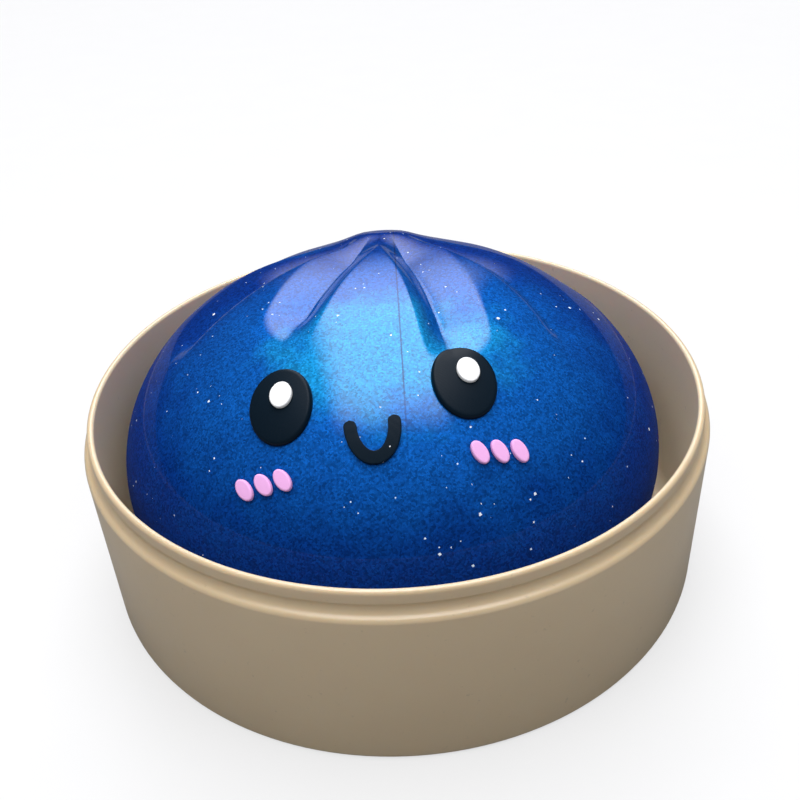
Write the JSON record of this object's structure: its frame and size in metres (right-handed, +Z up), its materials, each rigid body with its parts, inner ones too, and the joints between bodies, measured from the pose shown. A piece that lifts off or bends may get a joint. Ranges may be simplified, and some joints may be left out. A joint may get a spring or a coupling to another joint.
{
  "type": "squeeze toy",
  "caption": "Gel-filled squeezable bun with a pleated skin and a face of raised pads, resting in a round moulded steamer basket.",
  "frame": {"origin": "middle of the basket's flat foot, on the surface it stands on", "axes": "+Z up through the basket, the bun's face towards -Y, +X to the right of the face"},
  "size_m": [0.105, 0.105, 0.0519],
  "materials": {
    "basket_plastic": "satin moulded beige",
    "bun_elastomer": "clear glossy skin over deep blue",
    "blue_gel": "pearl blue with fine glitter",
    "plug_elastomer": "satin",
    "black_pad": "satin, faintly brushed",
    "white_pad": "satin",
    "pink_pad": "satin"
  },
  "bodies": {
    "basket": {"basket_tub": "basket_plastic"},
    "bun": {"bun_skin": "bun_elastomer", "gel_filling": "blue_gel", "fill_plug": "plug_elastomer"},
    "right_eye": {"eye_right": "black_pad", "eye_highlight_right": "white_pad"},
    "left_eye": {"eye_left": "black_pad", "eye_highlight_left": "white_pad"},
    "smile": {"mouth": "black_pad"},
    "left_cheek": {"blush_left_1": "pink_pad", "blush_left_2": "pink_pad", "blush_left_3": "pink_pad"},
    "right_cheek": {"blush_right_1": "pink_pad", "blush_right_2": "pink_pad", "blush_right_3": "pink_pad"}
  },
  "joints": [
    {"name": "bun_lift", "type": "slide", "parent": "basket", "child": "bun", "axis": [0, 0, 1], "range_m": [0, 0.045]},
    {"name": "squeeze_eye_right", "type": "slide", "parent": "bun", "child": "right_eye", "axis": [0, 0, -1], "range_m": [0, 0.00886], "stiffness_N_per_m": 400, "deforming": ["bun_skin", "gel_filling"]},
    {"name": "squeeze_eye_left", "type": "slide", "parent": "bun", "child": "left_eye", "axis": [0, 0, -1], "range_m": [0, 0.00854]},
    {"name": "squeeze_mouth", "type": "slide", "parent": "bun", "child": "smile", "axis": [0, 0, -1], "range_m": [0, 0.00812]},
    {"name": "squeeze_blush_left", "type": "slide", "parent": "bun", "child": "left_cheek", "axis": [0, 0, -1], "range_m": [0, 0.00708]},
    {"name": "squeeze_blush_right", "type": "slide", "parent": "bun", "child": "right_cheek", "axis": [0, 0, -1], "range_m": [0, 0.00756]}
  ],
  "couplings": [
    {"joint": "squeeze_eye_left", "follows": "squeeze_eye_right", "ratio": 0.9616},
    {"joint": "squeeze_mouth", "follows": "squeeze_eye_right", "ratio": 0.9142},
    {"joint": "squeeze_blush_left", "follows": "squeeze_eye_right", "ratio": 0.7968},
    {"joint": "squeeze_blush_right", "follows": "squeeze_eye_right", "ratio": 0.851}
  ]
}
